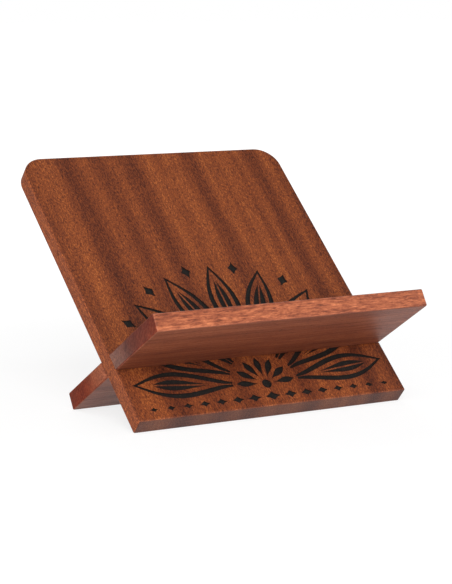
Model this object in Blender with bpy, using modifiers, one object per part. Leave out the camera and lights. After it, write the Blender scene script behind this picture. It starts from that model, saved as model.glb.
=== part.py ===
"""A wooden stand that comes apart into two boards and holds a steel tongue drum at a playing angle.

The back panel leans back and carries the underside of the drum. The ledge board passes through
it: in front it is the ledge that the drum's rim rests on, and behind it is the foot that props
the panel up. Each board has a slot, cut at the slant of the other one, that runs in from one side
edge. The boards slide into each other along the stand's width until the slots' ends meet, so the
joint needs no glue, pin or screw.

Metres, +Z up. X runs along the width, and the player is at -Y. The finished stand is set down with
its lowest edges on the floor and the middle of its outline over the origin.
"""

import math

import bmesh
import bpy
from mathutils import Vector

# Driving dimensions, in metres
STAND_WIDTH = 0.250
PANEL_LENGTH = 0.280
PANEL_THICKNESS = 0.015
LEDGE_THICKNESS = 0.015
# Along the ledge's underside, from the panel's front face to the ledge's front edge
LEDGE_REACH = 0.078
# Up the panel's front face, from its lower edge to the ledge's underside
CROSSING_HEIGHT = 0.051
# How far the panel's slot runs in from the right; the ledge board's slot takes the rest
PANEL_SLOT_DEPTH = 0.125
CORNER_RADIUS = 0.020
EDGE_EASE = 0.0012

# Angles from the floor: the panel rises to the rear, and the ledge rises to the front
PANEL_ANGLE = math.radians(41.7)
LEDGE_ANGLE = math.radians(30.9)

# Clearances in the crossed slots
GRIP_PLAY = 0.0003
REAR_PLAY = 0.0007
STOP_PLAY = 0.0003

# A cutter runs this far past the wood that it cuts
CUT_PAST = 0.004

CORNER_STEPS = 12
EASE_STEPS = 3
SMOOTH_BELOW = math.radians(35)

MAHOGANY = {
    "back_panel": {"colour": (0.205, 0.061, 0.026, 1.0), "roughness": 0.46},
    "ledge_board": {"colour": (0.235, 0.070, 0.035, 1.0), "roughness": 0.50},
}


def clear_scene():
    """Remove every object, so that the script can be run again in the same file."""
    for obj in list(bpy.data.objects):
        bpy.data.objects.remove(obj)


def new_collection(name):
    """A collection of this name in the scene, used again if an earlier run left it."""
    collection = bpy.data.collections.get(name) or bpy.data.collections.new(name)
    if name not in bpy.context.scene.collection.children:
        bpy.context.scene.collection.children.link(collection)
    return collection


def wood_material(name):
    """Oiled mahogany as it looks from a step away; the grain is left to the render."""
    material = bpy.data.materials.new(f"oiled_mahogany_{name}")
    material.use_nodes = True
    shader = material.node_tree.nodes["Principled BSDF"]
    shader.inputs["Base Color"].default_value = MAHOGANY[name]["colour"]
    shader.inputs["Roughness"].default_value = MAHOGANY[name]["roughness"]
    shader.inputs["Metallic"].default_value = 0.0
    material.diffuse_color = MAHOGANY[name]["colour"]
    return material


def box(name, low, high, collection):
    """A box between two corners, given in the directions of the board that it belongs to."""
    mesh = bpy.data.meshes.new(name)
    shape = bmesh.new()
    bmesh.ops.create_cube(shape, size=1.0)
    low, high = Vector(low), Vector(high)
    bmesh.ops.scale(shape, vec=high - low, verts=shape.verts)
    bmesh.ops.translate(shape, vec=(low + high) / 2, verts=shape.verts)
    shape.to_mesh(mesh)
    shape.free()
    obj = bpy.data.objects.new(name, mesh)
    collection.objects.link(obj)
    return obj


def mark_top_corners(panel):
    """Give bevel weight to the two short edges at the panel's upper corners."""
    top = max(vertex.co.y for vertex in panel.data.vertices)
    weights = panel.data.attributes.new("bevel_weight_edge", "FLOAT", "EDGE")
    for edge in panel.data.edges:
        start, end = (panel.data.vertices[index].co for index in edge.vertices)
        through_board = abs(start.z - end.z) > PANEL_THICKNESS / 2
        weights.data[edge.index].value = float(through_board and start.y == top)


def round_weighted_edges(board, radius):
    bevel = board.modifiers.new("rounded corners", "BEVEL")
    bevel.limit_method = "WEIGHT"
    bevel.width = radius
    bevel.segments = CORNER_STEPS


def ease_edges(board):
    """Take the sharpness off every outer edge, as sanding does."""
    bevel = board.modifiers.new("eased edges", "BEVEL")
    bevel.limit_method = "ANGLE"
    bevel.angle_limit = SMOOTH_BELOW
    bevel.width = EDGE_EASE
    bevel.segments = EASE_STEPS


def cut_slot(board, cutter):
    cut = board.modifiers.new("slot", "BOOLEAN")
    cut.operation = "DIFFERENCE"
    cut.solver = "EXACT"
    cut.object = cutter


def keep_as_guide(cutter):
    cutter.hide_render = True
    cutter.display_type = "WIRE"


def place(obj, parent, location, tilt):
    """Stand a board, or the cutter that has its slant, in the stand."""
    obj.parent = parent
    obj.location = location
    obj.rotation_euler = (tilt, 0.0, 0.0)


def ease_lift(angle):
    """How far an eased edge clears the line where the two faces would meet, resting at this angle."""
    return EDGE_EASE * (math.sin(angle) + math.cos(angle) - 1)


def crossing_line():
    """Where the ledge's underside meets the panel's front face, from the panel's lower rear edge."""
    up_the_panel = Vector((0, math.cos(PANEL_ANGLE), math.sin(PANEL_ANGLE)))
    out_of_front = Vector((0, -math.sin(PANEL_ANGLE), math.cos(PANEL_ANGLE)))
    return PANEL_THICKNESS * out_of_front + CROSSING_HEIGHT * up_the_panel


def slot_reach(crossed_thickness, own_thickness):
    """Half the length of a cutter that passes right through a board that it crosses at a slant."""
    between = PANEL_ANGLE + LEDGE_ANGLE
    slanted = crossed_thickness / math.sin(between)
    shifted = own_thickness / abs(math.tan(between))
    return slanted + shifted + CUT_PAST


def make_panel(parts):
    """The board that leans back: x across it, y up it from the floor, z out of its front face."""
    half = STAND_WIDTH / 2
    panel = box("back_panel", (-half, 0, 0), (half, PANEL_LENGTH, PANEL_THICKNESS), parts)
    mark_top_corners(panel)
    round_weighted_edges(panel, CORNER_RADIUS)
    ease_edges(panel)
    return panel


def make_ledge(parts, crossing):
    """The board that crosses it: x across, y back and down from the crossing, z out of its top."""
    half = STAND_WIDTH / 2
    resting_height = ease_lift(PANEL_ANGLE) - ease_lift(LEDGE_ANGLE)
    foot = (crossing.z - resting_height) / math.sin(LEDGE_ANGLE)
    ledge = box("ledge_board", (-half, -LEDGE_REACH, 0), (half, foot, LEDGE_THICKNESS), parts)
    ease_edges(ledge)
    return ledge


def make_panel_slot_cutter(cutters):
    """The ledge board's slant, from the right edge in to the slots' meeting point, with play."""
    half = STAND_WIDTH / 2
    reach = slot_reach(PANEL_THICKNESS, LEDGE_THICKNESS)
    low = (half - PANEL_SLOT_DEPTH, -reach, -GRIP_PLAY)
    high = (half + CUT_PAST, reach, LEDGE_THICKNESS + GRIP_PLAY)
    return box("cutter_panel_slot", low, high, cutters)


def make_ledge_slot_cutter(cutters):
    """The panel's slant, from the left edge in to just past the end of the panel's slot."""
    half = STAND_WIDTH / 2
    reach = slot_reach(LEDGE_THICKNESS, PANEL_THICKNESS)
    low = (-half - CUT_PAST, CROSSING_HEIGHT - reach, -REAR_PLAY)
    high = (half - PANEL_SLOT_DEPTH + STOP_PLAY, CROSSING_HEIGHT + reach, PANEL_THICKNESS + GRIP_PLAY)
    return box("cutter_ledge_slot", low, high, cutters)


def settle_shape(board):
    """Turn the modifiers into real faces, shaded smooth except across the sharp edges."""
    bpy.context.view_layer.update()
    evaluated = board.evaluated_get(bpy.context.evaluated_depsgraph_get())
    solid = bpy.data.meshes.new_from_object(evaluated)
    board.modifiers.clear()
    board.data = solid
    solid.shade_smooth()
    solid.set_sharp_from_angle(angle=SMOOTH_BELOW)


def outline_of(boards):
    """Lowest and highest corner of the boards as they stand."""
    bpy.context.view_layer.update()
    points = [board.matrix_world @ vertex.co for board in boards for vertex in board.data.vertices]
    low = Vector([min(point[axis] for point in points) for axis in range(3)])
    high = Vector([max(point[axis] for point in points) for axis in range(3)])
    return low, high


def build():
    clear_scene()
    parts = new_collection("steel_tongue_drum_stand")
    cutters = new_collection("cutters")

    stand = bpy.data.objects.new("stand_on_floor", None)
    parts.objects.link(stand)

    crossing = crossing_line()
    panel_edge = Vector((0, 0, 0))
    panel = make_panel(parts)
    ledge = make_ledge(parts, crossing)
    panel_slot = make_panel_slot_cutter(cutters)
    ledge_slot = make_ledge_slot_cutter(cutters)

    place(panel, stand, panel_edge, PANEL_ANGLE)
    place(ledge_slot, stand, panel_edge, PANEL_ANGLE)
    place(ledge, stand, crossing, -LEDGE_ANGLE)
    place(panel_slot, stand, crossing, -LEDGE_ANGLE)

    cut_slot(panel, panel_slot)
    cut_slot(ledge, ledge_slot)
    for board in (panel, ledge):
        settle_shape(board)
        board.data.materials.clear()
        board.data.materials.append(wood_material(board.name))
    for cutter in (panel_slot, ledge_slot):
        keep_as_guide(cutter)

    low, high = outline_of((panel, ledge))
    stand.location = (-(low.x + high.x) / 2, -(low.y + high.y) / 2, -low.z)
    low, high = outline_of((panel, ledge))

    print("Overall size in mm:", [round(1000 * side, 1) for side in high - low])
    print("Panel's lower rear edge in m:", [round(x, 5) for x in panel.matrix_world.translation])
    print("Crossing line in m:", [round(x, 5) for x in ledge.matrix_world.translation])


build()
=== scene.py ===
# %% [markdown]
# A wooden stand for a steel tongue drum: two boards of oiled mahogany that slot into each other.
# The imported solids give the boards' places and sizes. This script gives them their looks: the
# carved ornament, the wood's figure, its pores and end grain, the floor, the light and the camera.

import math

import bmesh
import bpy
from mathutils import Matrix, Vector


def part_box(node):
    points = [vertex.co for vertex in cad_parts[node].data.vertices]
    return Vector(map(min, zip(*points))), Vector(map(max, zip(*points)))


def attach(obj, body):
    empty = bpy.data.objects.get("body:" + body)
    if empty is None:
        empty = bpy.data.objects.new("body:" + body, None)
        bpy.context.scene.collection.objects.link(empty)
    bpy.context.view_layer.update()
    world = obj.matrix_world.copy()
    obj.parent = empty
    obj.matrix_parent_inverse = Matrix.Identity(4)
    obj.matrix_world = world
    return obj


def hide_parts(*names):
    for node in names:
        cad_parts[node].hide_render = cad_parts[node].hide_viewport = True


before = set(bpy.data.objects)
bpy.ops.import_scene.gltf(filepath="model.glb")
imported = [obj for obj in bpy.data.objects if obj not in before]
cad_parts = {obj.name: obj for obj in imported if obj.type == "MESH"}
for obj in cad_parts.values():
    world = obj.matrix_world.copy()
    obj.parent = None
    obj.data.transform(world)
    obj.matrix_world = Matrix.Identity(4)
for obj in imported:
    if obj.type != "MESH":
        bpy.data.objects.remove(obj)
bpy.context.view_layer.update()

# %% [markdown]
# Each board lies at a slant, but its grain, its edges and its carving follow the board. So each one
# gets a frame of its own: x across the stand, y along the board, z out of its upper face. The
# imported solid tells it: its two largest faces look along z, and its lowest corner there is zero.
# Reading it from the solid means that nothing has to be fitted by eye if a slant changes.

# %% The boards' own directions
ACROSS = Vector((1, 0, 0))


def face_direction(node):
    """The upward direction that most of the board's area looks along, or away from."""
    areas = {}
    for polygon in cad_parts[node].data.polygons:
        upward = polygon.normal if polygon.normal.z > 0 else -polygon.normal
        key = tuple(round(part, 2) for part in upward)
        total, summed = areas.get(key, (0.0, Vector()))
        areas[key] = (total + polygon.area, summed + upward * polygon.area)
    return max(areas.values(), key=lambda entry: entry[0])[1].normalized()


def board_frame(node):
    """The matrix that stands a board's own frame in the world, and the board's length and thickness."""
    outward = face_direction(node)
    along = outward.cross(ACROSS)
    points = [vertex.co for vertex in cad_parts[node].data.vertices]
    start, end = min(p.dot(along) for p in points), max(p.dot(along) for p in points)
    rear, front = min(p.dot(outward) for p in points), max(p.dot(outward) for p in points)
    matrix = Matrix((ACROSS, along, outward)).transposed().to_4x4()
    matrix.translation = along * start + outward * rear
    return matrix, end - start, front - rear


PANEL_FRAME, PANEL_LENGTH, PANEL_THICKNESS = board_frame("back_panel")
LEDGE_FRAME, LEDGE_LENGTH, LEDGE_THICKNESS = board_frame("ledge_board")
HALF_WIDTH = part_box("back_panel")[1].x
for name, length, thickness in (("Panel", PANEL_LENGTH, PANEL_THICKNESS),
                                ("Ledge board", LEDGE_LENGTH, LEDGE_THICKNESS)):
    print(name, "in mm:", [round(1000 * side, 1) for side in (2 * HALF_WIDTH, length, thickness)])

# %% [markdown]
# The camera stands where the photographer stood: to the left, a little above the stand, and far
# enough back for its lines to run nearly parallel. These values come from the straight edges of
# the boards, so the render and the photograph can be laid over each other.

# %% Camera
CAMERA_PLACE = Vector((-0.8440, -1.4214, 0.3333))
TURNED_RIGHT = math.radians(30.97)
LOOKING_DOWN = math.radians(8.39)
FOCAL_LENGTH_MM = 124.2
SENSOR_WIDTH_MM = 36

camera_data = bpy.data.cameras.new("photo_camera")
camera_data.lens = FOCAL_LENGTH_MM
camera_data.sensor_width = SENSOR_WIDTH_MM
camera = bpy.data.objects.new("photo_camera", camera_data)
camera.location = CAMERA_PLACE
camera.rotation_euler = (math.radians(90) - LOOKING_DOWN, 0, -TURNED_RIGHT)
bpy.context.scene.collection.objects.link(camera)
bpy.context.scene.camera = camera
print("Camera's distance in m:", round(CAMERA_PLACE.length, 2))

# %% [markdown]
# The boards themselves are planed, sawn and sanded solids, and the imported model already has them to
# the last edge. So each visible board starts as a copy of its solid, laid in the board's own frame.
# Its triangles are welded and merged, which leaves large clean faces that carving can cut.

# %% The boards as clean meshes
WELD = 2e-6
SAME_PLANE = math.radians(0.2)


def board_piece(name, node, matrix):
    """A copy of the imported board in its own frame, with its triangles merged to whole faces."""
    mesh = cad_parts[node].data.copy()
    mesh.name = name
    mesh.transform(matrix.inverted())
    mesh.materials.clear()
    clean = bmesh.new()
    clean.from_mesh(mesh)
    bmesh.ops.remove_doubles(clean, verts=clean.verts, dist=WELD)
    bmesh.ops.dissolve_limit(clean, angle_limit=SAME_PLANE, verts=clean.verts, edges=clean.edges)
    clean.to_mesh(mesh)
    clean.free()
    piece = bpy.data.objects.new(name, mesh)
    piece.matrix_world = matrix
    bpy.context.scene.collection.objects.link(piece)
    return piece


panel = board_piece("carved_panel", "back_panel", PANEL_FRAME)
ledge = board_piece("crossing_ledge", "ledge_board", LEDGE_FRAME)
print("Faces:", len(panel.data.polygons), "on the panel,", len(ledge.data.polygons), "on the ledge board")

# %% [markdown]
# The ornament is a palmette: a fan of pointed leaves round a small flower, over a row of diamonds,
# as on old friezes and chair backs. A laser burns it about a millimetre deep. It could be painted
# on with a picture, but real recesses have walls that catch light from any side. So each shape is
# an outline worked out by a formula, pulled to a prism and cut out of the board. Most of them stand
# on rays from one point, so the fan of rays comes first.

# %% The fan
MM = 0.001
FAN_CENTRE = Vector((0, 22 * MM))
LEAF_START = 14 * MM
LEAF_END_TOP = 127 * MM
LEAF_END_LOW = 118 * MM


def fan_angles(turn_degrees, each_side):
    """The rays' angles: one ray straight up, and this many more on each side of it."""
    return [math.radians(turn_degrees * step) for step in range(-each_side, each_side + 1)]


LEAF_ANGLES = fan_angles(turn_degrees=21, each_side=4)


def on_fan(angle, radius, aside):
    """A point at this radius along a ray of the fan, set aside to the ray's right."""
    ray = Vector((math.sin(angle), math.cos(angle)))
    right = Vector((ray.y, -ray.x))
    return FAN_CENTRE + ray * radius + right * aside


def leaf_end(angle):
    """The upper leaves reach further out than the low ones, which end short of the board's sides."""
    share = (angle / LEAF_ANGLES[-1]) ** 2
    return LEAF_END_TOP + (LEAF_END_LOW - LEAF_END_TOP) * share


print("The leaves reach out, in mm:", [round(1000 * leaf_end(angle)) for angle in LEAF_ANGLES])

# %% [markdown]
# A leaf is drawn as one stroke that goes out along its left side and back along its right, thick at
# the shoulder and fine at both ends, as a graver cuts it. In it stands a spearhead whose two halves
# leave a thin rib of wood between them. Both get their curve from the same swelling sine.

# %% Outlines of a leaf and of its spearhead
CURVE_POINTS = 26
SHOULDER_SHIFT = 1.5
POINTEDNESS = 1.1
LEAF_HALF_WIDTH = 13.1 * MM
STROKE = 4.8 * MM
FINE_STROKE_SHARE = 0.35
LEAST_HOLLOW = 0.35 * MM
LEAF_BASE_SHARE = 0.16
HOLLOW_TIP_SHARE = 0.955
SPEAR_START = 50 * MM
SPEAR_BELOW_TIP = 17 * MM
SPEAR_HALF_WIDTH = 4.6 * MM
RIB = 0.7 * MM


def steps(start, end, count=CURVE_POINTS):
    """Evenly spaced values from start to end, with both ends in the list."""
    return [start + (end - start) * index / (count - 1) for index in range(count)]


def swell(share):
    """A leaf's half width as a share of its widest, from a fine base to a pointed tip."""
    return math.sin(math.pi * share ** SHOULDER_SHIFT) ** POINTEDNESS


def leaf_outline(angle):
    """The leaf's edge as one open loop: a stroke that is thickest at the shoulder."""
    end = leaf_end(angle)

    def radius(share):
        return LEAF_START + (end - LEAF_START) * share

    def outer(share):
        return LEAF_HALF_WIDTH * swell(share)

    def inner(share):
        thickening = FINE_STROKE_SHARE + (1 - FINE_STROKE_SHARE) * math.sin(math.pi * share)
        return max(outer(share) - STROKE * thickening, LEAST_HOLLOW)

    left = [on_fan(angle, radius(s), -outer(s)) for s in steps(LEAF_BASE_SHARE, 1.0)]
    right = [on_fan(angle, radius(s), outer(s)) for s in steps(1.0, LEAF_BASE_SHARE)][1:]
    inner_right = [on_fan(angle, radius(s), inner(s)) for s in steps(LEAF_BASE_SHARE, HOLLOW_TIP_SHARE)]
    inner_left = [on_fan(angle, radius(s), -inner(s)) for s in steps(HOLLOW_TIP_SHARE, LEAF_BASE_SHARE)]
    return left + right + inner_right + inner_left


def half_spear(angle, side):
    """Half of the solid spearhead in a leaf, to one side of the rib."""
    length = leaf_end(angle) - SPEAR_BELOW_TIP - SPEAR_START
    points = []
    for share in steps(0.0, 1.0):
        aside = side * (RIB + SPEAR_HALF_WIDTH * swell(share))
        points.append(on_fan(angle, SPEAR_START + length * share, aside))
    return points


print("Points round a leaf:", len(leaf_outline(0.0)), "and round half a spearhead:", len(half_spear(0.0, 1)))

# %% [markdown]
# Small shapes fill the places that the leaves leave: petals round a dot make the flower in the
# fan's heart, and diamonds stand between the leaf tips and along the board's lower edge.

# %% Outlines of petals, dots and diamonds
PETAL_START = 7.0 * MM
PETAL_END = 27.0 * MM
PETAL_HALF_WIDTH = 3.0 * MM
PETAL_POINTS = 16
DOT_POINTS = 28
HOLLOWED_SIDE = 0.42


def petal(angle):
    """A small solid leaf in the heart of the fan."""
    def edge(side, shares):
        length = PETAL_END - PETAL_START
        return [on_fan(angle, PETAL_START + length * s, side * PETAL_HALF_WIDTH * swell(s)) for s in shares]
    return edge(-1, steps(0.0, 1.0, PETAL_POINTS)) + edge(1, steps(1.0, 0.0, PETAL_POINTS))[1:-1]


def dot(centre, radius):
    """A round spot, drawn with many short sides."""
    turns = steps(0, math.tau, DOT_POINTS + 1)[:-1]
    return [centre + radius * Vector((math.cos(turn), math.sin(turn))) for turn in turns]


def diamond(centre, direction, long, wide):
    """A lozenge whose sides are hollowed, each with one point drawn in towards the centre."""
    along = direction.normalized()
    beside = Vector((along.y, -along.x))
    corners = [along * long, beside * wide, -along * long, -beside * wide]
    points = []
    for index, corner in enumerate(corners):
        following = corners[(index + 1) % len(corners)]
        points.append(centre + corner)
        points.append(centre + (corner + following) * HOLLOWED_SIDE)
    return points


print("Points round a petal:", len(petal(0.0)))

# %% [markdown]
# All outlines are gathered in one list before anything is cut, so a shape can be moved or added
# without a change to the cutting. No two of them may cross, or the cut would fail. So each leaf is
# a little narrower than its place in the fan, and a thin strip of wood stands beside it.

# %% The whole ornament
PETAL_ANGLES = fan_angles(turn_degrees=28, each_side=3)
DOT_RADIUS = 4.2 * MM
TIP_DIAMOND_INSET = 3 * MM
TIP_DIAMOND = (7.0 * MM, 4.6 * MM)
ROW_HEIGHT = 9.5 * MM
ROW_MIDDLE = (7.0 * MM, 4.2 * MM)
ROW_FIRST = (6.0 * MM, 3.6 * MM)
ROW_START = 17 * MM
ROW_SPACING = 15.2 * MM
ROW_COUNT = 7
ROW_SHRINK = 0.07


def fan_shapes():
    """The leaves with their spearheads, the diamonds between their tips, and the flower."""
    shapes = []
    for angle in LEAF_ANGLES:
        shapes.append(leaf_outline(angle))
        shapes.append(half_spear(angle, -1))
        shapes.append(half_spear(angle, 1))
    for first, second in zip(LEAF_ANGLES, LEAF_ANGLES[1:]):
        middle = (first + second) / 2
        centre = on_fan(middle, leaf_end(middle) - TIP_DIAMOND_INSET, 0)
        shapes.append(diamond(centre, centre - FAN_CENTRE, *TIP_DIAMOND))
    shapes.append(dot(FAN_CENTRE, DOT_RADIUS))
    return shapes + [petal(angle) for angle in PETAL_ANGLES]


def diamond_row():
    """Diamonds along the lower edge, the largest in the middle."""
    shapes = [diamond(Vector((0, ROW_HEIGHT)), ACROSS.xy, *ROW_MIDDLE)]
    for side in (-1, 1):
        for index in range(ROW_COUNT):
            centre = Vector((side * (ROW_START + ROW_SPACING * index), ROW_HEIGHT))
            long, wide = (length * (1.0 - ROW_SHRINK * index) for length in ROW_FIRST)
            shapes.append(diamond(centre, ACROSS.xy, long, wide))
    return shapes


outlines = fan_shapes() + diamond_row()
highest = max(point.y for outline in outlines for point in outline)
print("Ornament:", len(outlines), "shapes, up to", round(1000 * highest), "mm above the lower end")

# %% [markdown]
# The tool that cuts is one mesh with a closed prism for each outline, from just above the board's
# face down to the carving's floor. A Boolean modifier takes it away from the panel, and the result
# is kept as the panel's own mesh. The exact solver is slower than the fast one, but it keeps flat
# faces flat and leaves no slivers where a prism passes a merged face.

# %% Carve the ornament
CARVING_DEPTH = 1.0 * MM
CUT_PAST = 1.0 * MM


def signed_area(outline):
    """Above zero if the outline runs counterclockwise."""
    pairs = zip(outline, outline[1:] + outline[:1])
    return sum(a.x * b.y - b.x * a.y for a, b in pairs) / 2


def prism_cutter(name, shapes, low, high):
    """One mesh with a closed prism for each outline."""
    prisms = bmesh.new()
    for outline in shapes:
        points = outline if signed_area(outline) > 0 else outline[::-1]
        lower = [prisms.verts.new((p.x, p.y, low)) for p in points]
        upper = [prisms.verts.new((p.x, p.y, high)) for p in points]
        prisms.faces.new(lower[::-1])
        prisms.faces.new(upper)
        for index in range(len(points)):
            following = (index + 1) % len(points)
            prisms.faces.new((lower[index], lower[following], upper[following], upper[index]))
    mesh = bpy.data.meshes.new(name)
    prisms.to_mesh(mesh)
    prisms.free()
    cutter = bpy.data.objects.new(name, mesh)
    bpy.context.scene.collection.objects.link(cutter)
    return cutter


def carve(board, cutter):
    """Take the cutter away from the board for good, and then remove the cutter."""
    cut = board.modifiers.new("ornament", "BOOLEAN")
    cut.operation = "DIFFERENCE"
    cut.solver = "EXACT"
    cut.object = cutter
    bpy.context.view_layer.update()
    carved = board.evaluated_get(bpy.context.evaluated_depsgraph_get())
    mesh = bpy.data.meshes.new_from_object(carved)
    board.modifiers.clear()
    board.data = mesh
    bpy.data.objects.remove(cutter)


CARVING_FLOOR = PANEL_THICKNESS - CARVING_DEPTH
ornament_cutter = prism_cutter("ornament_cutter", outlines, CARVING_FLOOR, PANEL_THICKNESS + CUT_PAST)
ornament_cutter.matrix_world = PANEL_FRAME
carve(panel, ornament_cutter)
print("Faces on the carved panel:", len(panel.data.polygons))

# %% [markdown]
# The wood and the burnt recesses are two materials on one board. The recesses are found by their
# place: their floors lie at the carving's depth, and their walls stand between floor and face.
# Faces of the eased edges and slots reach other depths too, so those are left to the wood.

# %% Find the carved faces
SAME_HEIGHT = 5e-5
LEVEL = 0.99
UPRIGHT = 0.01


def is_carved(polygon, mesh):
    """True for the floor or the wall of a recess, with the board still in its own frame."""
    heights = [mesh.vertices[index].co.z for index in polygon.vertices]
    lowest, highest = min(heights), max(heights)
    inside = lowest > CARVING_FLOOR - SAME_HEIGHT and highest < PANEL_THICKNESS + SAME_HEIGHT
    floor = abs(polygon.normal.z) > LEVEL and highest < PANEL_THICKNESS - CARVING_DEPTH / 2
    wall = abs(polygon.normal.z) < UPRIGHT and lowest < CARVING_FLOOR + SAME_HEIGHT < highest
    return inside and (floor or wall)


carved_faces = [polygon.index for polygon in panel.data.polygons if is_carved(polygon, panel.data)]
print("Carved faces:", len(carved_faces), "of", len(panel.data.polygons))

# %% [markdown]
# Now the boards can stand up. The slant goes into the meshes themselves, because a tilted object's
# box is looser than its solid's. The eased edges are shaded smooth and the corners stay sharp, and
# weighted normals keep the broad faces flat right up to the easing.

# %% Stand the boards up and shade their edges
SHARP = math.radians(35)
FACE_WEIGHT = 90


def stand_up(piece):
    """Lay the mesh itself in the world."""
    piece.data.transform(piece.matrix_world)
    piece.matrix_world = Matrix.Identity(4)


def shade(piece):
    """Smooth across the eased edges, flat on the broad faces, sharp in the corners."""
    piece.data.shade_smooth()
    piece.data.set_sharp_from_angle(angle=SHARP)
    weighted = piece.modifiers.new("flat faces stay flat", "WEIGHTED_NORMAL")
    weighted.keep_sharp = True
    weighted.weight = FACE_WEIGHT


for piece in (panel, ledge):
    stand_up(piece)
    shade(piece)
    print(piece.name, "in m:", [round(side, 4) for side in piece.dimensions])

# %% [markdown]
# A material is a small factory of nodes, which could also be joined by hand in the shader editor.
# In a script a few helpers keep it short: one adds a node with its values and links, two do sums,
# one turns a value into a soft step, and one makes noise whose lumps have a size in metres, so
# that grain is written down as it would be measured.

# %% Helpers for nodes
NOISE_MIDDLE = 0.5


def add(tree, kind, inputs=None, **settings):
    """A new node with its settings. An input is a value, or another node's output to link from."""
    node = tree.nodes.new(kind)
    for name, value in settings.items():
        setattr(node, name, value)
    for key, value in (inputs or {}).items():
        if isinstance(value, bpy.types.NodeSocket):
            tree.links.new(value, node.inputs[key])
        else:
            node.inputs[key].default_value = value
    return node


def maths(tree, operation, first, second=0.0, third=0.0):
    """One sum. Each number may be a value or another node's output."""
    node = add(tree, "ShaderNodeMath", {0: first, 1: second, 2: third}, operation=operation)
    return node.outputs[0]


def vector_maths(tree, operation, first, second=(0.0, 0.0, 0.0), output="Vector"):
    """The same for vectors. Some of these sums give a single value."""
    node = add(tree, "ShaderNodeVectorMath", {0: first, 1: second}, operation=operation)
    return node.outputs[output]


def split(tree, vector):
    """The X, Y and Z of a vector as values."""
    return add(tree, "ShaderNodeSeparateXYZ", {0: vector}).outputs


def smooth_range(tree, value, low, high, to_low=0.0, to_high=1.0):
    """Turn low..high of a value into a soft step from to_low to to_high."""
    inputs = {"Value": value, "From Min": low, "From Max": high, "To Min": to_low, "To Max": to_high}
    return add(tree, "ShaderNodeMapRange", inputs, interpolation_type="SMOOTHSTEP").outputs["Result"]


def stretched_noise(tree, vector, size, detail=2.0, roughness=0.5):
    """Noise whose lumps have about this size in metres along x, y and z."""
    scale = tuple(1.0 / side for side in size)
    place = add(tree, "ShaderNodeMapping", {"Vector": vector, "Scale": scale})
    inputs = {"Vector": place.outputs[0], "Scale": 1.0, "Detail": detail, "Roughness": roughness}
    return add(tree, "ShaderNodeTexNoise", inputs).outputs["Fac"]


# %% [markdown]
# Both woods share some effects. They could be written out in each material, but then each change
# has to be made twice. So each effect is a node group, built once and placed in each material with
# its own values. A group has named inputs and outputs, like a function. What it puts out are plain
# values, because the shader that uses them stays in the material.

# %% Helpers for node groups
FLOAT = "NodeSocketFloat"
VECTOR = "NodeSocketVector"


def start_group(name, inputs, outputs):
    """A node group, with a start value for each input that has one and numbers as its outputs."""
    tree = bpy.data.node_groups.new(name, "ShaderNodeTree")
    for label, kind, value in inputs:
        socket = tree.interface.new_socket(label, in_out="INPUT", socket_type=kind)
        if value is not None:
            socket.default_value = value
    for label in outputs:
        tree.interface.new_socket(label, in_out="OUTPUT", socket_type=FLOAT)
    return tree, tree.nodes.new("NodeGroupInput").outputs, tree.nodes.new("NodeGroupOutput")


def finish_group(tree, out, results):
    """Link what was worked out to the group's outputs."""
    for label, socket in results.items():
        tree.links.new(socket, out.inputs[label])
    print("Node group", tree.name, "with", len(tree.nodes), "nodes")


# %% [markdown]
# Mahogany's grain is a bundle of long fibres with open pores between them. Seen on a long face it
# gives fine streaks, golden flecks where a fibre turns to the light, and short dark pores. Seen at
# a sawn end the same fibres are dots. A solid texture stretched along the fibres gives both from
# one set of nodes, and it lines up round every edge, as in a real board. y runs along the fibres.
# A slow drift bends them all alike, and Across tells a material where a bent fibre belongs.

# %% Node group: grain
DRIFT = {"size": (0.05, 0.11, 0.05), "detail": 1.0}
FIBRE = {"size": (0.0020, 0.055, 0.0020), "detail": 3.0, "roughness": 0.62}
FLECK = {"size": (0.0006, 0.0022, 0.0006), "detail": 2.0, "roughness": 0.7}
PORE = {"size": (0.00075, 0.0052, 0.00075), "detail": 1.0, "roughness": 0.4}
BAND = {"size": (0.010, 0.30, 0.010), "detail": 2.0}
CURL = {"size": (0.0017, 0.0085, 0.0017), "detail": 2.0, "roughness": 0.6}
STREAK_STEP = (0.28, 0.72)
FLECK_STEP = (0.30, 0.70)
PORE_STEP = (0.60, 0.72)

grain_group, given, result = start_group(
    "mahogany_grain",
    [("Vector", VECTOR, None), ("Wander", FLOAT, 0.002)],
    ["Streaks", "Flecks", "Pores", "Bands", "Curls", "Across"],
)
drift = stretched_noise(grain_group, given["Vector"], **DRIFT)
drift = maths(grain_group, "SUBTRACT", drift, NOISE_MIDDLE)
shift = maths(grain_group, "MULTIPLY", drift, given["Wander"])
aside = add(grain_group, "ShaderNodeCombineXYZ", {"X": shift, "Z": shift}).outputs[0]
bent = vector_maths(grain_group, "ADD", given["Vector"], aside)
streaks, flecks, pores = (stretched_noise(grain_group, bent, **kind) for kind in (FIBRE, FLECK, PORE))
finish_group(grain_group, result, {
    "Streaks": smooth_range(grain_group, streaks, *STREAK_STEP),
    "Flecks": smooth_range(grain_group, flecks, *FLECK_STEP),
    "Pores": smooth_range(grain_group, pores, *PORE_STEP),
    "Bands": stretched_noise(grain_group, bent, **BAND),
    "Curls": stretched_noise(grain_group, bent, **CURL),
    "Across": split(grain_group, bent)["X"],
})

# %% [markdown]
# A sawn end drinks more oil than a face and looks darker, and it shows the growth rings. Which
# faces are ends is plain from the direction they look in, in the board's own frame. The rings are
# slices of wide cylinders, so here they are bands across the end with a slow bend.

# %% Node group: end grain
RING_BEND = {"size": (0.06, 0.4, 0.02), "detail": 1.0}
RING_BEND_DEPTH = 0.012
RING_TILT = 0.55
END_STEP = (0.55, 0.95)

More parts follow.
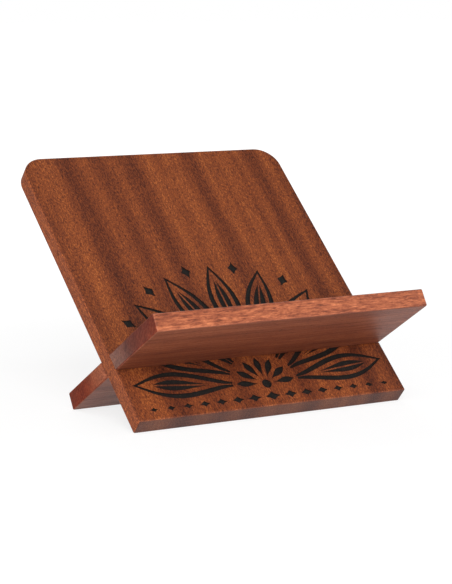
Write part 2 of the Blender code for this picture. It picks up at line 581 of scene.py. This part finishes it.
end_group, given, result = start_group(
    "end_grain",
    [("Vector", VECTOR, None), ("Normal", VECTOR, None),
     ("Fibre Direction", VECTOR, (0.0, 1.0, 0.0)), ("Ring Spacing", FLOAT, 0.0035)],
    ["End", "Rings"],
)
facing = vector_maths(end_group, "DOT_PRODUCT", given["Normal"], given["Fibre Direction"], "Value")
parts = split(end_group, given["Vector"])
bend = stretched_noise(end_group, given["Vector"], **RING_BEND)
across = maths(end_group, "MULTIPLY_ADD", parts["X"], RING_TILT, parts["Z"])
across = maths(end_group, "MULTIPLY_ADD", bend, RING_BEND_DEPTH, across)
phase = maths(end_group, "MULTIPLY", maths(end_group, "DIVIDE", across, given["Ring Spacing"]), math.tau)
finish_group(end_group, result, {
    "End": smooth_range(end_group, maths(end_group, "ABSOLUTE", facing), *END_STEP),
    "Rings": maths(end_group, "MULTIPLY_ADD", maths(end_group, "SINE", phase), 0.5, 0.5),
})

# %% [markdown]
# Hands and packing rub a board's edges first. There the oil is thin and the wood a little paler.
# The same paler, greyer band is also a painted highlight: the light line that the lamps lay along
# the eased edges. Such places could be painted on by hand. Here the board's size tells them: a
# point is on an edge when it is near two faces at once, so the second smallest of its three depths
# below the faces tells how near it is. That holds for any board and needs no painting.

# %% Node group: worn edges with a painted highlight
WEAR_AND_HIGHLIGHT_SPOTS = {"size": (0.012, 0.012, 0.012), "detail": 3.0}
WEAR_AND_HIGHLIGHT_STEP = (1.5, 0.45)

wear_and_highlight_group, given, result = start_group(
    "worn_and_highlit_edges",
    [("Vector", VECTOR, None), ("Middle", VECTOR, None), ("Half Size", VECTOR, None),
     ("Width", FLOAT, 0.002)],
    ["WornAndHighlit"],
)
offset = vector_maths(wear_and_highlight_group, "SUBTRACT", given["Vector"], given["Middle"])
offset = vector_maths(wear_and_highlight_group, "ABSOLUTE", offset)
depth = split(wear_and_highlight_group, vector_maths(wear_and_highlight_group, "SUBTRACT", given["Half Size"], offset))
least, most, total = (
    maths(wear_and_highlight_group, operation, maths(wear_and_highlight_group, operation, depth["X"], depth["Y"]), depth["Z"])
    for operation in ("MINIMUM", "MAXIMUM", "ADD"))
second = maths(wear_and_highlight_group, "SUBTRACT", maths(wear_and_highlight_group, "SUBTRACT", total, least), most)
uneven = stretched_noise(wear_and_highlight_group, given["Vector"], **WEAR_AND_HIGHLIGHT_SPOTS)
distance = maths(wear_and_highlight_group, "ADD", maths(wear_and_highlight_group, "DIVIDE", second, given["Width"]), uneven)
finish_group(wear_and_highlight_group, result, {"WornAndHighlit": smooth_range(wear_and_highlight_group, distance, *WEAR_AND_HIGHLIGHT_STEP)})

# %% [markdown]
# The boards now lie at a slant in the world, but their grain doesn't. So each wood first turns the
# place and the direction of a point back into its board's own frame. A Mapping node of the texture
# kind does that, because it undoes the move and the turn that it is given. The piece's own
# coordinates go in, which move with it when the stand is taken apart.

# %% Place and direction in the board's own frame


def board_coordinates(tree, matrix):
    """Where a point is, and which way its surface looks, in the board's own frame."""
    coordinates = add(tree, "ShaderNodeTexCoord").outputs
    turn = tuple(matrix.to_euler())
    place = add(tree, "ShaderNodeMapping", {"Vector": coordinates["Object"], "Rotation": turn,
                                            "Location": matrix.translation}, vector_type="TEXTURE")
    look = add(tree, "ShaderNodeMapping", {"Vector": coordinates["Normal"], "Rotation": turn},
               vector_type="TEXTURE")
    return place.outputs[0], look.outputs[0]


for name, matrix in (("Panel", PANEL_FRAME), ("Ledge board", LEDGE_FRAME)):
    print(name, "leans by", round(math.degrees(matrix.to_euler().x), 1), "degrees")

# %% [markdown]
# Every wood ends in the same kind of shader: one colour, one roughness and a little relief from
# the pores. Its colour is worked out in two steps. First a tone from 0 to 1 gathers all that makes
# the wood darker or lighter, and a ramp turns the tone into a brown. Then tints are laid over the
# places that differ, such as the sawn ends.

# %% Helpers for the woods
RELIEF = 0.00012
RELIEF_STRENGTH = 0.6
PORE_RELIEF = -0.8
OILED_GLOSS = 0.3
OILED_ROUGHNESS = 0.52
TURNED_STEP = (0.6, 0.95)
WEAR_AND_HIGHLIGHT_WIDTH = 0.0016


def new_material(name):
    """A material with the nodes that every new one starts with."""
    material = bpy.data.materials.new(name)
    material.use_nodes = True
    return material


def place_group(tree, group, inputs):
    """One of the node groups in a material, with this material's own values."""
    return add(tree, "ShaderNodeGroup", inputs, node_tree=group).outputs


def push(tree, tone, value, weight, middle=NOISE_MIDDLE):
    """Raise the tone where a value lies above its middle, and lower it where it lies below."""
    return maths(tree, "MULTIPLY_ADD", maths(tree, "SUBTRACT", value, middle), weight, tone)


def turned_to(tree, direction):
    """1 on the faces that look along or against a direction, given by that part of the normal."""
    return smooth_range(tree, maths(tree, "ABSOLUTE", direction), *TURNED_STEP)


def worn_and_highlit_mask(tree, place, length, thickness):
    """1 along the edges of a board of this length and thickness, paler from wear and a painted highlight."""
    return place_group(tree, wear_and_highlight_group, {
        "Vector": place,
        "Middle": (0.0, length / 2, thickness / 2),
        "Half Size": (HALF_WIDTH, length / 2, thickness / 2),
        "Width": WEAR_AND_HIGHLIGHT_WIDTH,
    })["WornAndHighlit"]


def ramp(tree, value, stops, interpolation="LINEAR"):
    """A colour ramp with the given stops of (place, colour or grey)."""
    node = add(tree, "ShaderNodeValToRGB", {"Fac": value})
    node.color_ramp.interpolation = interpolation
    elements = node.color_ramp.elements
    while len(elements) > 1:
        elements.remove(elements[-1])
    for index, (place, tone) in enumerate(stops):
        element = elements[0] if index == 0 else elements.new(place)
        element.position = place
        colour = (tone, tone, tone) if isinstance(tone, float) else tone
        element.color = (*colour, 1.0)
    return node.outputs["Color"]


def tint(tree, colour, mask, by):
    """Multiply a colour by another where the mask says so. The Mix node has sockets of every type
    under the same names, so the ones for colours are found by their type."""
    node = add(tree, "ShaderNodeMix", data_type="RGBA", blend_type="MULTIPLY")
    first, second = (s for s in node.inputs if s.type == "RGBA")
    tree.links.new(mask, node.inputs[0])
    tree.links.new(colour, first)
    second.default_value = (*by, 1.0)
    return next(s for s in node.outputs if s.type == "RGBA")


def finish_wood(material, colour, roughness, height, relief=RELIEF, gloss=OILED_GLOSS):
    """Link what was worked out to the material's own shader."""
    tree = material.node_tree
    shader = tree.nodes["Principled BSDF"]
    bump = add(tree, "ShaderNodeBump", {"Height": height, "Strength": RELIEF_STRENGTH, "Distance": relief})
    tree.links.new(colour, shader.inputs["Base Color"])
    tree.links.new(roughness, shader.inputs["Roughness"])
    tree.links.new(bump.outputs[0], shader.inputs["Normal"])
    shader.inputs["Specular IOR Level"].default_value = gloss
    print("Material", material.name, "with", len(tree.nodes), "nodes")


# %% [markdown]
# The panel is sawn so that its broad face shows ribbons: the fibres lean one way for a finger's
# width, then the other, and each ribbon is dark or light with them. A wave texture would give them
# a fixed beat, which real ribbons don't have. So their places are chosen one by one along the
# width, in metres from the middle, each with its tone. A light stop goes halfway between
# neighbours, and a colour ramp joins them softly.

# %% The panel's ribbons
DARK_RIBBONS = [(-0.118, 0.45), (-0.084, 0.05), (-0.051, 0.18), (-0.024, 0.10), (0.004, 0.40),
                (0.035, 0.12), (0.060, 0.42), (0.078, 0.34), (0.097, 0.02), (0.121, 0.30)]
LIGHT_RIBBON = 0.78


def ribbon_stops():
    """Stops along the panel's width, which runs from 0 to 1 here."""
    def share(x):
        return (x + HALF_WIDTH) / (2 * HALF_WIDTH)

    stops = []
    for (x, tone), (next_x, _) in zip(DARK_RIBBONS, DARK_RIBBONS[1:]):
        stops.append((share(x), tone))
        stops.append((share((x + next_x) / 2), LIGHT_RIBBON))
    last_x, last_tone = DARK_RIBBONS[-1]
    return stops + [(share(last_x), last_tone)]


print("Stops for the ribbons:", len(ribbon_stops()))

# %% [markdown]
# Slow noise makes the ribbons fade here and there, and the drift in the grain makes them wander.
# Streaks, flecks and pores are laid over them, and everything goes through one ramp from deep to
# golden brown. The sides are cut along the fibres at another slant and look paler and more golden,
# and their tint also holds painted light from the left. The ends' tint holds a painted grey
# reflection of the white floor.

# %% Material: the panel's wood
PANEL_TONES = [(0.00, (0.040, 0.009, 0.004)), (0.25, (0.098, 0.022, 0.009)), (0.50, (0.190, 0.044, 0.014)),
               (0.75, (0.330, 0.086, 0.022)), (1.00, (0.560, 0.180, 0.048))]
PANEL_TONE = 0.435
RIBBON_MIDDLE = 0.45
RIBBON_PATCH = {"size": (0.045, 0.300, 0.045), "detail": 2.0}
PATCH_STEP = (0.30, 0.70)
FADED_RIBBON = 0.70
PANEL_FIBRES = (0.0, 1.0, 0.0)
PANEL_WANDER = 0.007
PANEL_WEIGHTS = {"Streaks": 0.16, "Flecks": 0.60}
PANEL_PORES = -0.22
# Tints for the ends, the edges and the sides. Each also holds painted light: a grey floor reflection on the
# ends, a highlight along the edges, and light from the left on the sides.
PANEL_TINTS_AND_PAINTED_LIGHT = {"end": (0.72, 0.92, 1.50), "worn_and_highlit": (1.25, 1.30, 1.40), "side": (1.95, 1.95, 1.75)}
PANEL_DULLNESS = {"pores": 0.15, "streaks": -0.06, "side": 0.22}


def panel_wood():
    material = new_material("panel_mahogany")
    tree = material.node_tree
    place, look = board_coordinates(tree, PANEL_FRAME)
    grain = place_group(tree, grain_group, {"Vector": place, "Wander": PANEL_WANDER})
    ends = place_group(tree, end_group, {"Vector": place, "Normal": look, "Fibre Direction": PANEL_FIBRES})
    worn_and_highlit = worn_and_highlit_mask(tree, place, PANEL_LENGTH, PANEL_THICKNESS)
    side = turned_to(tree, split(tree, look)["X"])

    share = maths(tree, "MULTIPLY_ADD", grain["Across"], 1 / (2 * HALF_WIDTH), 0.5)
    ribbons = ramp(tree, share, ribbon_stops(), "B_SPLINE")
    patches = stretched_noise(tree, place, **RIBBON_PATCH)
    fade = smooth_range(tree, patches, *PATCH_STEP, FADED_RIBBON, 1.0)
    tone = push(tree, PANEL_TONE, ribbons, fade, RIBBON_MIDDLE)
    for label, weight in PANEL_WEIGHTS.items():
        tone = push(tree, tone, grain[label], weight)
    tone = maths(tree, "MULTIPLY_ADD", grain["Pores"], PANEL_PORES, tone)

    colour = ramp(tree, tone, PANEL_TONES)
    # The ends are darker, and their tint lifts the blue: a painted grey reflection of the white floor.
    colour = tint(tree, colour, ends["End"], PANEL_TINTS_AND_PAINTED_LIGHT["end"])
    # Paler, greyer edges: partly thin oil where worn, partly a painted highlight along the eased edges.
    colour = tint(tree, colour, worn_and_highlit, PANEL_TINTS_AND_PAINTED_LIGHT["worn_and_highlit"])
    # Paler sides: partly the grain's other slant, partly painted light from the left.
    colour = tint(tree, colour, side, PANEL_TINTS_AND_PAINTED_LIGHT["side"])

    dullness = PANEL_DULLNESS
    roughness = maths(tree, "MULTIPLY_ADD", grain["Pores"], dullness["pores"], OILED_ROUGHNESS)
    roughness = maths(tree, "MULTIPLY_ADD", grain["Streaks"], dullness["streaks"], roughness)
    roughness = maths(tree, "MULTIPLY_ADD", side, dullness["side"], roughness)
    height = maths(tree, "MULTIPLY_ADD", grain["Pores"], PORE_RELIEF, grain["Streaks"])
    finish_wood(material, colour, roughness, height)
    return material


panel_material = panel_wood()

# %% [markdown]
# The ledge board is cut from a plainer, pinker plank of the same wood, with its fibres along the
# width of the stand. Its front edge shows coarse wavy grain, its underside fine straight streaks.
# Swapping x and y before the grain group turns the fibres, and the rest is set by values.

# %% Material: the ledge board's wood
LEDGE_TONES = [(0.00, (0.070, 0.018, 0.010)), (0.28, (0.145, 0.036, 0.018)), (0.50, (0.245, 0.066, 0.030)),
               (0.72, (0.360, 0.108, 0.048)), (1.00, (0.600, 0.220, 0.100))]
LEDGE_FIBRES = (1.0, 0.0, 0.0)
LEDGE_WANDER = 0.010
LEDGE_TONE = 0.50
LEDGE_WEIGHTS = {"Bands": 0.55, "Streaks": 0.22, "Flecks": 0.16}
LEDGE_PORES = -0.20
EDGE_CURLS = 1.1
DARK_RINGS = -0.25
# The edges' tint is partly wear and partly a painted highlight.
LEDGE_TINTS = {"edge": (1.53, 1.56, 1.50), "end": (0.76, 0.34, 0.22), "worn_and_highlit": (1.20, 1.25, 1.30)}
LEDGE_DULLNESS = {"streaks": -0.08, "end": 0.32}


def ledge_wood():
    material = new_material("ledge_mahogany")
    tree = material.node_tree
    place, look = board_coordinates(tree, LEDGE_FRAME)
    parts = split(tree, place)
    turned = add(tree, "ShaderNodeCombineXYZ", {"X": parts["Y"], "Y": parts["X"], "Z": parts["Z"]}).outputs[0]
    grain = place_group(tree, grain_group, {"Vector": turned, "Wander": LEDGE_WANDER})
    ends = place_group(tree, end_group, {"Vector": turned, "Normal": look, "Fibre Direction": LEDGE_FIBRES})
    worn_and_highlit = worn_and_highlit_mask(tree, place, LEDGE_LENGTH, LEDGE_THICKNESS)
    edge_face = turned_to(tree, split(tree, look)["Y"])

    tone = LEDGE_TONE
    for label, weight in LEDGE_WEIGHTS.items():
        tone = push(tree, tone, grain[label], weight)
    tone = push(tree, tone, grain["Curls"], maths(tree, "MULTIPLY", edge_face, EDGE_CURLS))
    tone = maths(tree, "MULTIPLY_ADD", grain["Pores"], LEDGE_PORES, tone)

    colour = ramp(tree, tone, LEDGE_TONES)
    colour = tint(tree, colour, edge_face, LEDGE_TINTS["edge"])
    rings = maths(tree, "MULTIPLY_ADD", ends["Rings"], DARK_RINGS, 1.0)
    colour = tint(tree, colour, maths(tree, "MULTIPLY", ends["End"], rings), LEDGE_TINTS["end"])
    # Paler, greyer edges: partly thin oil where worn, partly a painted highlight along the eased edges.
    colour = tint(tree, colour, worn_and_highlit, LEDGE_TINTS["worn_and_highlit"])

    dullness = LEDGE_DULLNESS
    roughness = maths(tree, "MULTIPLY_ADD", grain["Streaks"], dullness["streaks"], OILED_ROUGHNESS)
    roughness = maths(tree, "MULTIPLY_ADD", ends["End"], dullness["end"], roughness)
    height = maths(tree, "MULTIPLY_ADD", grain["Pores"], PORE_RELIEF, grain["Streaks"])
    finish_wood(material, colour, roughness, height)
    return material


ledge_material = ledge_wood()

# %% [markdown]
# Burning leaves the floor of a recess as soft charcoal: nearly black, dull, with paler specks where
# the fibres stand up. Plain black would look like a hole, so fine noise along the grain gives both
# the specks and their small relief.

# %% Material: the burnt recesses
SPECK = {"size": (0.0009, 0.0022, 0.0009), "detail": 3.0, "roughness": 0.7}
SPECK_STEP = (0.35, 0.75)
CHAR_TONES = [(0.0, (0.0065, 0.0055, 0.0050)), (0.6, (0.0120, 0.0100, 0.0085)),
              (1.0, (0.0420, 0.0300, 0.0220))]
CHAR_RELIEF = 0.0003
CHAR_GLOSS = 0.25
CHAR_ROUGHNESS = 0.70
SPECK_DULLNESS = 0.2


def burnt_wood():
    material = new_material("burnt_recess")
    tree = material.node_tree
    place, _ = board_coordinates(tree, PANEL_FRAME)
    specks = stretched_noise(tree, place, **SPECK)
    colour = ramp(tree, smooth_range(tree, specks, *SPECK_STEP), CHAR_TONES)
    roughness = maths(tree, "MULTIPLY_ADD", specks, SPECK_DULLNESS, CHAR_ROUGHNESS)
    finish_wood(material, colour, roughness, specks, CHAR_RELIEF, CHAR_GLOSS)
    return material


burnt_material = burnt_wood()

# %% [markdown]
# The panel takes its wood first and the char second, and only the carved faces point to the second.
# They are told so after the materials are on, because clearing a mesh's materials forgets it.

# %% Materials on the boards
panel.data.materials.clear()
for material in (panel_material, burnt_material):
    panel.data.materials.append(material)
BURNT = panel.data.materials.find(burnt_material.name)
for index in carved_faces:
    panel.data.polygons[index].material_index = BURNT
ledge.data.materials.append(ledge_material)
for piece in (panel, ledge):
    print(piece.name, "has", [material.name for material in piece.data.materials])

# %% [markdown]
# The panel and the ledge board move apart when the stand is taken down, so each piece rides on the
# body of its own board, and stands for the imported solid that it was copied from.

# %% Pieces on their bodies
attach(panel, "panel")
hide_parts("back_panel")
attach(ledge, "ledge")
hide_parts("ledge_board")
print("Pieces:", panel.name, "on panel,", ledge.name, "on ledge")

# %% [markdown]
# The studio has a white floor. To the camera and in reflections it glows white by itself, so the
# background needs no extra light on the wood. Near the stand a share of it is plain white paint,
# which keeps the stand's shadow. Further out it glows fully, so no horizon shows. To the light on
# the wood it is all paint, which sends a soft bounce up to the undersides.

# %% Floor
FLOOR_SIZE = 40.0
PAINT = (0.80, 0.80, 0.80, 1.0)
PAINT_SHARE = 0.30
GLOW = 1.15
GLOW_RISES_FROM = 0.3
GLOW_FULL_AT = 1.0


def seen_directly(tree):
    """1 for rays from the camera, in reflections and through glass, 0 for the light on surfaces."""
    path = add(tree, "ShaderNodeLightPath").outputs
    seen = maths(tree, "MAXIMUM", path["Is Camera Ray"], path["Is Glossy Ray"])
    return maths(tree, "MAXIMUM", seen, path["Is Transmission Ray"])


def floor_material():
    material = new_material("white_floor")
    tree = material.node_tree
    tree.nodes.remove(tree.nodes["Principled BSDF"])
    paint = add(tree, "ShaderNodeBsdfDiffuse", {"Color": PAINT})
    glow = add(tree, "ShaderNodeEmission", {"Strength": GLOW})
    place = add(tree, "ShaderNodeTexCoord").outputs["Object"]
    away = vector_maths(tree, "LENGTH", place, output="Value")
    glowing = smooth_range(tree, away, GLOW_RISES_FROM, GLOW_FULL_AT, 1.0 - PAINT_SHARE, 1.0)
    share = maths(tree, "MULTIPLY", seen_directly(tree), glowing)
    both = add(tree, "ShaderNodeMixShader", {0: share, 1: paint.outputs[0], 2: glow.outputs[0]})
    tree.links.new(both.outputs[0], tree.nodes["Material Output"].inputs["Surface"])
    return material


bpy.ops.mesh.primitive_plane_add(size=FLOOR_SIZE)
floor = bpy.context.object
floor.name = "floor"
floor.data.materials.append(floor_material())
print("Floor:", FLOOR_SIZE, "m wide, with a share of", PAINT_SHARE, "painted near the stand")

# %% [markdown]
# Round the stand are white walls, and above it a darker ceiling, or its reflection would lay a grey
# haze over the panel. The world plays both: its brightness falls from the walls to the ceiling, at
# one pace for the light on surfaces and at another in reflections. The camera sees plain white.

# %% World
WALL_LIGHT = 0.60
WALL_SHEEN = 1.0
CEILING_LIGHT = 0.10
LIGHT_FALLS = (0.25, 0.75)
SHEEN_FALLS = (0.10, 0.45)
WHITE = 1.0

world = bpy.data.worlds.new("studio")
world.use_nodes = True
bpy.context.scene.world = world
tree = world.node_tree
background = tree.nodes["Background"]
background.inputs["Color"].default_value = (1.0, 1.0, 1.0, 1.0)
upward = split(tree, add(tree, "ShaderNodeTexCoord").outputs["Generated"])["Z"]
light = smooth_range(tree, upward, *LIGHT_FALLS, WALL_LIGHT, CEILING_LIGHT)
sheen = smooth_range(tree, upward, *SHEEN_FALLS, WALL_SHEEN, CEILING_LIGHT)
path = add(tree, "ShaderNodeLightPath").outputs
in_reflection = maths(tree, "MAXIMUM", path["Is Glossy Ray"], path["Is Transmission Ray"])
level = add(tree, "ShaderNodeMix", {0: in_reflection, 2: light, 3: sheen}).outputs[0]
level = add(tree, "ShaderNodeMix", {0: path["Is Camera Ray"], 2: level, 3: WHITE}).outputs[0]
tree.links.new(level, background.inputs["Strength"])
print("World:", len(tree.nodes), "nodes")

# %% [markdown]
# Five square softboxes light the stand. The first two make the panel's soft light from the front
# left and above, as in the photograph. The others are weak and fill what those two leave dark: the
# right ends, the ledge's underside and the back. Small lamps would give hard shadows, which the
# photograph doesn't have.

# %% Lamps
STAND_MIDDLE = Vector((0.0, 0.0, 0.08))
LAMPS = {
    "front_left_softbox": {"place": (-1.3, -1.9, 1.2), "size": 1.0, "watts": 27},
    "high_softbox": {"place": (-0.7, -1.3, 2.1), "size": 1.2, "watts": 22},
    "right_fill": {"place": (1.9, -1.0, 0.9), "size": 1.2, "watts": 9},
    "low_front_card": {"place": (0.2, -1.6, 0.22), "size": 0.5, "watts": 4},
    "rear_fill": {"place": (0.8, 1.9, 1.3), "size": 1.4, "watts": 14},
}


def softbox(name, place, size, watts):
    """A square soft light that looks at the stand."""
    data = bpy.data.lights.new(name, "AREA")
    data.shape = "SQUARE"
    data.size = size
    data.energy = watts
    lamp = bpy.data.objects.new(name, data)
    lamp.location = place
    lamp.rotation_euler = (STAND_MIDDLE - Vector(place)).to_track_quat("-Z", "Y").to_euler()
    bpy.context.scene.collection.objects.link(lamp)


for name, lamp in LAMPS.items():
    softbox(name, **lamp)
print("Lamps:", {name: lamp["watts"] for name, lamp in LAMPS.items()})

# %% [markdown]
# The Standard view shows each colour as it is written. Filmic views would grey the white floor and
# dull the wood.

# %% Colours as they are written
scene = bpy.context.scene
scene.view_settings.view_transform = "Standard"
print("View:", scene.view_settings.view_transform)
